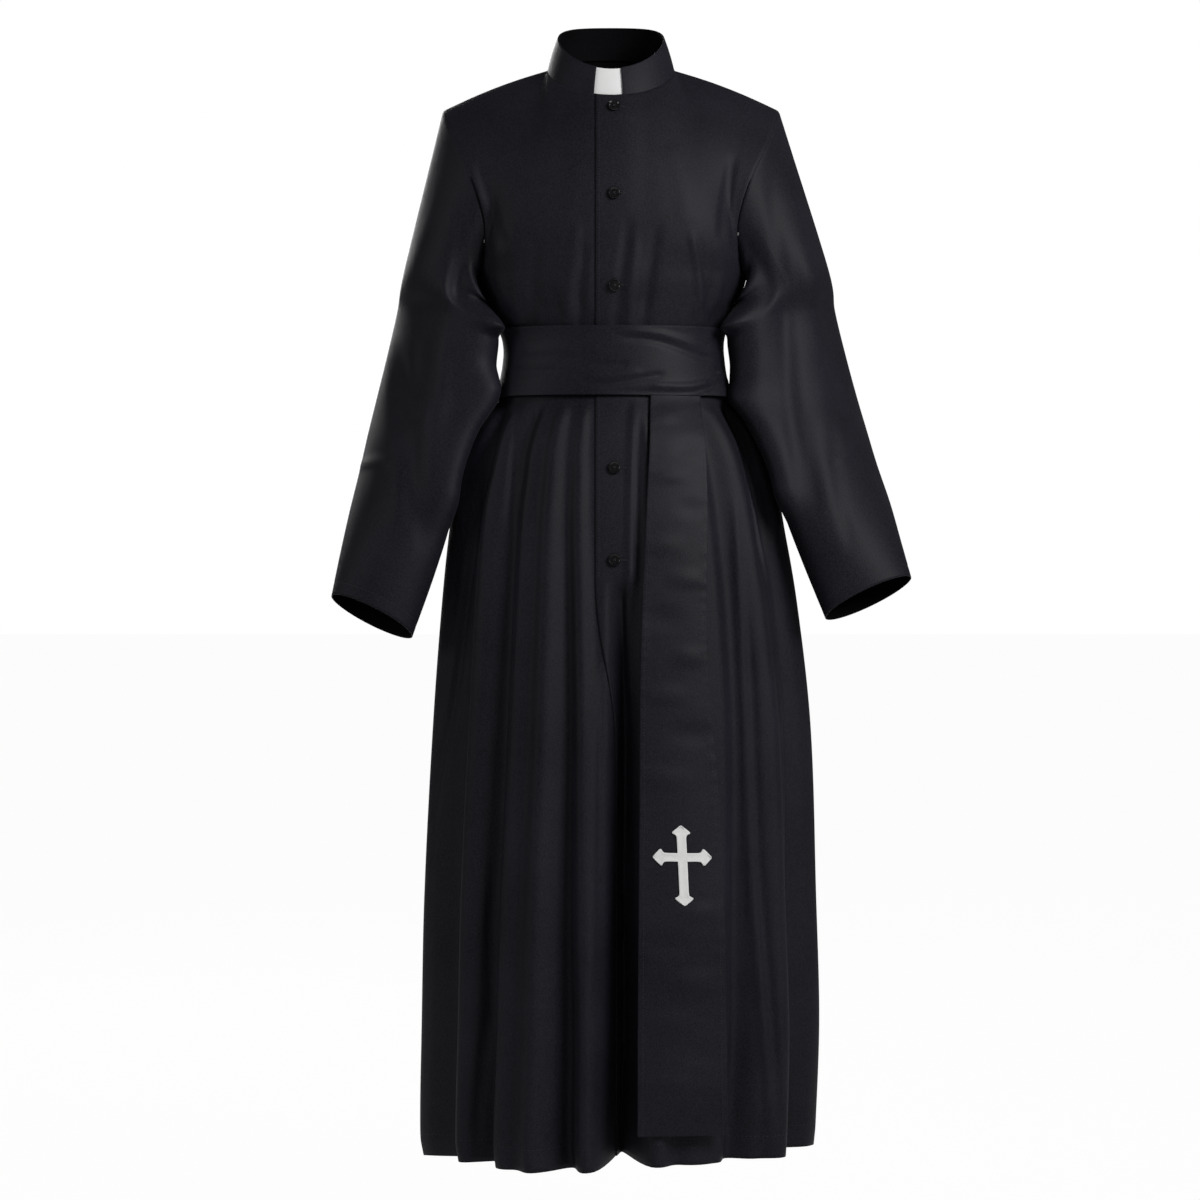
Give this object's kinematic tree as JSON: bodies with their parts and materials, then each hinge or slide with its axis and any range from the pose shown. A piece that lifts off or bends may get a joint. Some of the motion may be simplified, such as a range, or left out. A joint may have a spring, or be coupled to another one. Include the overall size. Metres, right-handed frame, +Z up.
{
  "type": "cassock",
  "caption": "Long black gown with a standing collar and white tab, a buttoned placket, long sleeves, and a sash whose tail carries a white cross.",
  "frame": {"origin": "the middle of the neck seam between the neck points, where the wearer holds the gown up", "axes": "+Z up, the front faces -Y, +X to the wearer's left"},
  "size_m": [0.69, 0.4162, 1.384],
  "materials": {
    "gown_cloth": "black twill with a soft satin sheen",
    "cincture_cloth": "black satin weave",
    "white_tab": "smooth white",
    "cross_cloth": "white satin stitch",
    "button": "glossy black"
  },
  "bodies": {
    "root": {"front_left": "gown_cloth", "front_right": "gown_cloth", "back": "gown_cloth", "sleeve_left": "gown_cloth", "sleeve_right": "gown_cloth", "collar": "gown_cloth", "collar_tab": "white_tab", "cincture_band": "cincture_cloth", "cincture_tail": "cincture_cloth", "cross_applique": "cross_cloth", "button_1": "button", "button_2": "button", "button_3": "button", "button_4": "button", "button_5": "button", "button_6": "button"}
  },
  "joints": []
}
